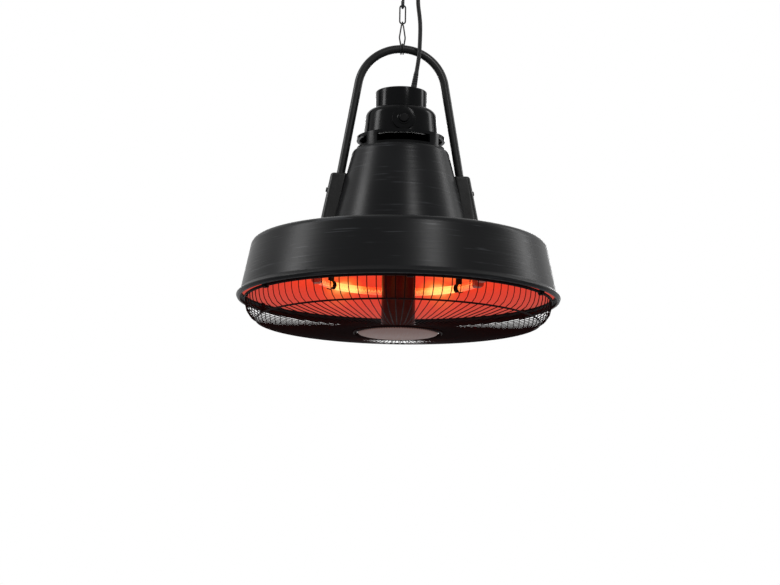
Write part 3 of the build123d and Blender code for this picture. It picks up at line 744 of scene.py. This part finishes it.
def connector_line():
    """One wire: a bend over the link, a diamond, and a turn and a half round the bail."""
    grip = TUBE_R + WIRE_R + 0.3
    tube_z = ARCH_Z + ARCH_R
    top = LINK_FOOT_Z + 3 * WIRE_R + 0.3
    eye = []
    steps = 48
    for index in range(steps + 1):
        share = index / steps
        turn = math.radians(540 * share - 90)
        eye.append(spot(4.8 * (share - 0.5), grip * math.sin(turn), tube_z - grip * math.cos(turn)))
    one = [spot(-0.4, -2.9, top - 2.6), spot(-1.6, -2.6, top - 5), spot(-4.2, -1.2, 385),
           spot(-4.1, -1.8, 382.5), spot(-2.6, -6.6, 371.5)]
    two = [spot(2.6, 6.6, 371.5), spot(4.1, 1.8, 382.5), spot(4.2, 1.2, 385),
           spot(1.6, 2.6, top - 5), spot(0.4, 2.9, top - 2.6)]
    crown_one = [spot(0, -0.12, top), spot(-0.3, -2.1, top - 0.7)]
    crown_two = [spot(0.3, 2.1, top - 0.7), spot(0, 0.12, top)]
    return crown_one + one + eye + two + crown_two


class HEATER_OT_hanging_set(bpy.types.Operator):
    """Makes the screw eye, the long hook, the chain link and the wire connector"""
    bl_idname = "heater.hanging_set"
    bl_label = "Hanging set"

    def execute(self, context):
        steel = finishes()["steel"]
        radius = context.scene.heater_sizes.link_wire
        link = wire("link_ring", link_line(), radius, sides=16, closed=True)
        seat(link, "chain_link", steel, ["chain_link"])
        connector = wire("connector_wire", connector_line(), radius, sides=16)
        seat(connector, "bail_connector", steel, ["bail_connector"])
        for node in ("hanger_hook", "ceiling_eye"):
            piece = cad_copy(node, f"{node}_bar", 40)
            seat(piece, node, steel, [node])
        return {"FINISHED"}


# Bail and sockets

def leg_x(z):
    """How far out the straight leg is at a height."""
    return ARCH_R * math.cos(LEG_LEAN) + math.tan(LEG_LEAN) * (TANGENT_Z - z)


class HEATER_OT_bail(bpy.types.Operator):
    """Bends the tube bail and seats its two cast sockets and their screws"""
    bl_idname = "heater.bail"
    bl_label = "Bail and sockets"

    def execute(self, context):
        tube = context.scene.heater_sizes.tube_radius
        legs = []
        for step in range(6):
            z = BAIL_FOOT_Z + (TANGENT_Z - BAIL_FOOT_Z) * step / 6
            legs.append(spot(leg_x(z), 0, z))
        arch = []
        for step in range(49):
            angle = LEG_LEAN + (math.pi - 2 * LEG_LEAN) * step / 48
            arch.append(spot(ARCH_R * math.cos(angle), 0, ARCH_Z + ARCH_R * math.sin(angle)))
        mirrored = [Vector((-p.x, p.y, p.z)) for p in reversed(legs)]
        piece = wire("bail_tube", legs + arch + mirrored, tube, sides=32)
        seat(piece, "heater", finishes()["bail"], ["hanging_bail"])
        for side in ("left", "right"):
            socket = cad_copy(f"socket_{side}", f"socket_{side}_casting", 28)
            round_edges(socket, 0.6, 2, 28)
            smooth(socket, 40)
            seat(socket, "heater", finishes()["bail"], [f"socket_{side}"])
        screws = cad_copy("socket_screws", "clamp_screws", 30)
        seat(screws, "heater", finishes()["steel"], ["socket_screws"])
        return {"FINISHED"}


# Housing: sizes in millimetres, and Z is a height above the lip plane

SHADE_TOP_Z = 81.0
SHADE_TOP_R = 209.0
SHADE_HOLE_R = 84.0
CONE_FOOT = (101.0, 81.3)
CONE_TOP_Z = 213.5
CONE_TOP_R = 67.6
CONE_HOLE_R = 50.0
DOME_FOOT = (53.8, 234.2)
DOME_TOP_Z = 275.5
DOME_TOP_R = 50.0
DOME_HOLE_R = 20.0
CAP_FOOT = (37.0, 275.52)
CAP_TOP_Z = 303.0
MOULDED_WALL = 2.0
NEAR_AXIS = 0.01        # where the outline of a closed end stops, just short of the axis
BOSS_Z = 251.5


class HEATER_OT_housing(bpy.types.Operator):
    """Spins the shade with its flared lip and the neck cone"""
    bl_idname = "heater.housing"
    bl_label = "Shade and neck"

    def execute(self, context):
        sizes = context.scene.heater_sizes
        lip = sizes.lip_radius / MM
        wall = sizes.sheet / MM
        line = rounded([(SHADE_HOLE_R, SHADE_TOP_Z), (SHADE_TOP_R, SHADE_TOP_Z), (lip - 5.8, 7),
                        (lip + 0.4, 1.6), (lip - 1.8, -2.4), (lip - 5, -3.2)], [11, 4, 1.8, 1.6])
        shade = turned("shade_spinning", line, wall)
        smooth(shade, 35)
        seat(shade, "heater", finishes()["lacquer"], ["shade"])
        line = rounded([CONE_FOOT, (CONE_TOP_R, CONE_TOP_Z), (CONE_HOLE_R, CONE_TOP_Z)], [6])
        cone = turned("neck_spinning", line, wall)
        smooth(cone, 35)
        seat(cone, "heater", finishes()["lacquer"], ["neck_cone"])
        return {"FINISHED"}


def front_turned(name, outline):
    """A turned piece laid along Y through the boss, from (radius, y) in millimetres."""
    piece = turned(name, [(radius, DROP - y) for radius, y in outline], steps=64)
    lay = Matrix.Translation((0, 0, up(BOSS_Z))) @ Matrix.Rotation(math.pi / 2, 4, "X")
    piece.data.transform(lay)
    return piece


class HEATER_OT_head(bpy.types.Operator):
    """Makes the windowed collar, the dome with its push button, and the cap"""
    bl_idname = "heater.head"
    bl_label = "Collar, dome and cap"

    def execute(self, context):
        gloss = finishes()["gloss"]
        collar = cad_copy("vent_collar", "collar_moulding", 28)
        seat(collar, "heater", gloss, ["vent_collar"])
        line = rounded([DOME_FOOT, (DOME_TOP_R, DOME_TOP_Z), (DOME_HOLE_R, DOME_TOP_Z)], [13], 10)
        dome = turned("dome_spinning", line, MOULDED_WALL)
        boss = front_turned("dome_boss", [(7.9, -53.0), (7.9, -55.1), (8.3, -55.5), (15.6, -55.5),
                                          (16.2, -55.3), (16.5, -54.7), (16.5, -46.0)])
        dome = join("dome_moulding", [dome, boss])
        smooth(dome, 35)
        seat(dome, "heater", gloss, ["dome"])
        bezel = front_turned("bezel_ring", [(6.6, -43.7), (6.6, -56.0), (6.9, -56.3), (8.9, -56.3),
                                            (9.3, -55.9), (9.3, -55.5), (7.9, -55.5), (7.9, -43.7),
                                            (6.6, -43.7)])
        smooth(bezel, 35)
        seat(bezel, "heater", gloss, ["button_bezel"])
        line = rounded([CAP_FOOT, (CAP_FOOT[0], CAP_TOP_Z), (NEAR_AXIS, CAP_TOP_Z)], [2.5])
        cap = turned("cap_moulding", line, MOULDED_WALL)
        smooth(cap, 35)
        seat(cap, "heater", gloss, ["top_cap"])
        button = cad_copy("power_button", "button_cap", 35)
        seat(button, "power_button", finishes()["button"], ["power_button"])
        screws = cad_copy("cap_screws", "cap_screw_heads", 30)
        seat(screws, "heater", finishes()["steel"], ["cap_screws"])
        return {"FINISHED"}


# Under the shade: sizes as above

DISH_WALL = 0.8
DISH_TOP_Z = 62.0
DISH_FLANGE_Z = 8.0
COLUMN_R = 24.0
COLUMN_BORE_R = 22.8
COLUMN_FOOT_Z = -46.9
PLATE_R = 57.0
PLATE_TOP_Z = -47.2
PLATE_FOOT_Z = -50.2
PLATE_RING_R = 61.5
LAMP_R = 118.0
LAMP_Z = 31.0
LAMP_SPAN = 150.0
LAMP_TUBE_R = 5.5
WINDING_R = 1.6
WINDING_WIRE_R = 0.45
WINDING_TURNS = 60
GUARD_RIM_R = 217.0
GUARD_RING_R = 201.0


class HEATER_OT_reflector(bpy.types.Operator):
    """Spins the reflector, the centre column and the plate with its ring"""
    bl_idname = "heater.reflector"
    bl_label = "Reflector and column"

    def execute(self, context):
        outline = rounded([(COLUMN_R + 0.1, DISH_TOP_Z), (150, DISH_TOP_Z), (196, 38),
                           (213.5, DISH_FLANGE_Z), (222.6, DISH_FLANGE_Z)], [40, 30, 1.5], 12)
        dish = turned("reflector_spinning", outline, DISH_WALL)
        smooth(dish, 35)
        seat(dish, "heater", finishes()["reflector"], ["reflector"])
        column = turned("column_tube", [(COLUMN_BORE_R, SHADE_TOP_Z), (COLUMN_R, SHADE_TOP_Z),
                                        (COLUMN_R, COLUMN_FOOT_Z), (COLUMN_BORE_R, COLUMN_FOOT_Z),
                                        (COLUMN_BORE_R, SHADE_TOP_Z)], steps=96)
        smooth(column, 35)
        seat(column, "heater", finishes()["column"], ["centre_column"])
        plate = turned("plate_disc", [(NEAR_AXIS, PLATE_FOOT_Z), (53.5, PLATE_FOOT_Z), (55.4, -49.6),
                                      (PLATE_R, -48.2), (PLATE_R, PLATE_TOP_Z), (NEAR_AXIS, PLATE_TOP_Z)],
                       steps=128)
        smooth(plate, 35)
        seat(plate, "heater", finishes()["plate"], ["centre_plate"])
        ring = wire("plate_edge_ring", circle(PLATE_RING_R, -48.4, 128), 1.5 * MM, sides=12, closed=True)
        seat(ring, "heater", finishes()["guard"], ["plate_ring"])
        return {"FINISHED"}


def around(radius, angle, z):
    """A point at a radius from the heater's axis and an angle round it."""
    return spot(radius * math.cos(angle), radius * math.sin(angle), z)


def circle(radius, z, count):
    return [around(radius, 2 * math.pi * step / count, z) for step in range(count)]


def arc_line(radius, z, first, last, count):
    """Points along an arc, from one angle in degrees to another."""
    return [around(radius, math.radians(first + (last - first) * step / count), z)
            for step in range(count + 1)]


class HEATER_OT_lamps(bpy.types.Operator):
    """Bends the two half-ring lamps and their burning coils, with end caps and holders"""
    bl_idname = "heater.lamps"
    bl_label = "Lamps"

    def execute(self, context):
        for side, middle in (("front", -90.0), ("rear", 90.0)):
            first, last = middle - LAMP_SPAN / 2, middle + LAMP_SPAN / 2
            line = arc_line(LAMP_R, LAMP_Z, first, last, 56)
            tube = wire(f"lamp_{side}_tube", line, LAMP_TUBE_R * MM, sides=24)
            seat(tube, "heater", finishes()["glass"], [f"lamp_{side}"])
            self.coil(side, first + 2, last - 2)
        caps = cad_copy("lamp_end_caps", "lamp_end_blocks", 30)
        # End caps in the ceramic with the lamps' red light painted into its colour
        seat(caps, "heater", finishes()["hot_ceramic"], ["lamp_end_caps"])
        holders = cad_copy("lamp_holders", "lamp_spring_clips", 30)
        seat(holders, "heater", finishes()["guard"], ["lamp_holders"])
        return {"FINISHED"}

    def coil(self, side, first, last):
        """The heating coil in its tube: a helix that follows the half ring."""
        steps_a_turn = 8
        count = WINDING_TURNS * steps_a_turn
        points = []
        for index in range(count + 1):
            angle = math.radians(first + (last - first) * index / count)
            wind = 2 * math.pi * index / steps_a_turn
            points.append(around(LAMP_R + WINDING_R * math.cos(wind), angle,
                                 LAMP_Z + WINDING_R * math.sin(wind)))
        piece = wire(f"lamp_{side}_coil", points, WINDING_WIRE_R * MM, sides=4)
        seat(piece, "heater", finishes()["coil"], [f"filament_{side}"])


class HEATER_OT_guard(bpy.types.Operator):
    """Bends one wire of the guard, repeats it round the axis, and adds the rings and clips"""
    bl_idname = "heater.guard"
    bl_label = "Guard"

    def execute(self, context):
        sizes = context.scene.heater_sizes
        line = [(GUARD_RIM_R, -4.5), (216.4, -12.0), (214.5, -19.5), (209.5, -27.0), (GUARD_RING_R, -32.0),
                (175, -37.5), (140, -42.8), (100, -47.0), (70, -47.6), (62.5, -46.4), (60.2, -46.2),
                (59.6, -47.6), (59.9, -49.2), (PLATE_RING_R, -50.4)]
        one = wire("guard_wire_fan", [spot(r, 0, z) for r, z in line], sizes.guard_wire, sides=4)
        smooth(one, 80)
        fan(one, sizes.guard_wires)
        seat(one, "heater", finishes()["guard"], ["guard_wires"])
        ring = wire("guard_middle_ring", circle(GUARD_RING_R, -33.1, 160), 1.3 * MM, sides=12, closed=True)
        seat(ring, "heater", finishes()["guard"], ["guard_ring"])
        rim = wire("guard_rim_ring", circle(GUARD_RIM_R, -3.0, 192), 2.2 * MM, sides=16, closed=True)
        seat(rim, "heater", finishes()["guard"], ["guard_rim"])
        clips = cad_copy("guard_clips", "guard_rim_clips", 30)
        seat(clips, "heater", finishes()["guard"], ["guard_clips"])
        return {"FINISHED"}


class HEATER_OT_inside(bpy.types.Operator):
    """Gives the pieces inside the housing their finishes"""
    bl_idname = "heater.inside"
    bl_label = "Inside pieces"

    def execute(self, context):
        made = finishes()
        for node, finish in (("heat_shield", "plain"), ("column_bolt", "plain"), ("thermal_cutout", "plain"),
                             ("inner_bracket", "plain"), ("terminal_block", "ceramic"), ("relays", "button"),
                             ("switch_body", "button"), ("control_board", "board")):
            paint(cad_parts[node], made[finish])
        return {"FINISHED"}


# Stage

CAMERA_BACK = 3.200
CAMERA_BELOW_LIP = 0.547
CAMERA_TURN = math.radians(-4.0)
CAMERA_PITCH = math.radians(9.87)
CAMERA_AIM = math.radians(0.215)
CAMERA_ROLL = math.radians(0.90)
LENS = 105.6
FLOOR_Z = -2.4
LIT_Z = 120.0


def softbox(name, place, size, power):
    """A soft light at a place in metres, turned to the heater's middle."""
    light = bpy.data.lights.new(name, "AREA")
    light.shape = "RECTANGLE"
    light.size, light.size_y = size
    light.energy = power
    lamp = bpy.data.objects.new(name, light)
    bpy.context.scene.collection.objects.link(lamp)
    lamp.location = place
    aim = Vector((0, 0, up(LIT_Z))) - Vector(place)
    lamp.rotation_euler = aim.to_track_quat("-Z", "Y").to_euler()


def white_for_camera(tree, plain, white):
    """A mix that shows white to the camera, to gloss and through glass, and the plain shader to all else."""
    path = tree.nodes.new("ShaderNodeLightPath")
    seen = path.outputs["Is Camera Ray"]
    for ray in ("Is Glossy Ray", "Is Transmission Ray"):
        either = tree.nodes.new("ShaderNodeMath")
        either.operation = "MAXIMUM"
        tree.links.new(seen, either.inputs[0])
        tree.links.new(path.outputs[ray], either.inputs[1])
        seen = either.outputs[0]
    mix = tree.nodes.new("ShaderNodeMixShader")
    tree.links.new(seen, mix.inputs[0])
    tree.links.new(plain.outputs[0], mix.inputs[1])
    tree.links.new(white.outputs[0], mix.inputs[2])
    return mix


class HEATER_OT_stage(bpy.types.Operator):
    """Sets the camera, the soft lights, the pale background and the floor"""
    bl_idname = "heater.stage"
    bl_label = "Stage"

    def execute(self, context):
        scene = context.scene
        scene.view_settings.view_transform = "Standard"
        self.camera(scene)
        self.world(scene)
        self.lights()
        self.floor()
        return {"FINISHED"}

    def camera(self, scene):
        data = bpy.data.cameras.new("camera")
        data.lens = LENS
        data.sensor_width = 36.0
        data.clip_start, data.clip_end = 0.1, 50.0
        camera = bpy.data.objects.new("camera", data)
        scene.collection.objects.link(camera)
        camera.location = (CAMERA_BACK * math.sin(CAMERA_TURN), -CAMERA_BACK * math.cos(CAMERA_TURN),
                           up(0) - CAMERA_BELOW_LIP)
        heading = CAMERA_TURN + CAMERA_AIM
        level = Matrix.Rotation(heading, 4, "Z") @ Matrix.Rotation(math.pi / 2 + CAMERA_PITCH, 4, "X")
        camera.rotation_euler = (level @ Matrix.Rotation(CAMERA_ROLL, 4, "Z")).to_euler()
        scene.camera = camera

    def world(self, scene):
        world = bpy.data.worlds.new("studio")
        scene.world = world
        world.use_nodes = True
        tree = world.node_tree
        plain = tree.nodes["Background"]
        plain.inputs["Color"].default_value = (0.9, 0.93, 1.0, 1.0)
        plain.inputs["Strength"].default_value = 0.5
        white = tree.nodes.new("ShaderNodeBackground")
        white.inputs["Color"].default_value = (1, 1, 1, 1)
        white.inputs["Strength"].default_value = 1.0
        mix = white_for_camera(tree, plain, white)
        tree.links.new(mix.outputs[0], tree.nodes["World Output"].inputs["Surface"])

    def lights(self):
        softbox("side_left", (-2.2, -0.1, up(1320)), (0.6, 1.3), 44)
        softbox("side_right", (2.1, 0.6, up(1120)), (0.5, 1.3), 17)
        softbox("front", (0.77, -1.9, up(1550)), (0.35, 0.8), 34)
        softbox("back", (0.3, 2.6, up(600)), (1.4, 0.8), 22)

    def floor(self):
        start_clean()
        bpy.ops.mesh.primitive_circle_add(vertices=96, radius=9, fill_type="NGON", location=(0, 0, FLOOR_Z))
        floor = named("studio_floor")
        apply_place(floor)
        finish = Finish("pale_floor").set(Roughness=0.8)
        grain = finish.noise(2, 2.0)
        finish.colour(finish.ramp(grain, [(0.3, (0.86, 0.86, 0.86)), (0.7, (0.9, 0.9, 0.9))]))
        paint(floor, finish.material)


class HEATER_PT_panel(bpy.types.Panel):
    """The heater's makers, in order"""
    bl_label = "Hanging heater"
    bl_idname = "HEATER_PT_panel"
    bl_space_type = "VIEW_3D"
    bl_region_type = "UI"
    bl_category = "Heater"

    def draw(self, context):
        layout = self.layout
        for group in (context.scene.heater_sizes, context.scene.heater_finishes):
            for name in group.bl_rna.properties.keys():
                if name not in ("rna_type", "name"):
                    layout.prop(group, name)
        for maker in MAKERS:
            layout.operator(maker.bl_idname)


MAKERS = (HEATER_OT_stage, HEATER_OT_cord, HEATER_OT_hanging_set, HEATER_OT_bail, HEATER_OT_housing,
          HEATER_OT_head, HEATER_OT_reflector, HEATER_OT_lamps, HEATER_OT_guard, HEATER_OT_inside)
CLASSES = (HeaterSizes, HeaterFinishes, *MAKERS, HEATER_PT_panel)


def register():
    for each in CLASSES:
        bpy.utils.register_class(each)
    bpy.types.Scene.heater_sizes = bpy.props.PointerProperty(type=HeaterSizes)
    bpy.types.Scene.heater_finishes = bpy.props.PointerProperty(type=HeaterFinishes)


def unregister():
    del bpy.types.Scene.heater_finishes
    del bpy.types.Scene.heater_sizes
    for each in reversed(CLASSES):
        bpy.utils.unregister_class(each)


def main():
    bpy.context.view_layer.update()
    register()
    for maker in MAKERS:
        group, name = maker.bl_idname.split(".")
        getattr(getattr(bpy.ops, group), name)()
    start_clean()


if __name__ == "__main__":
    main()
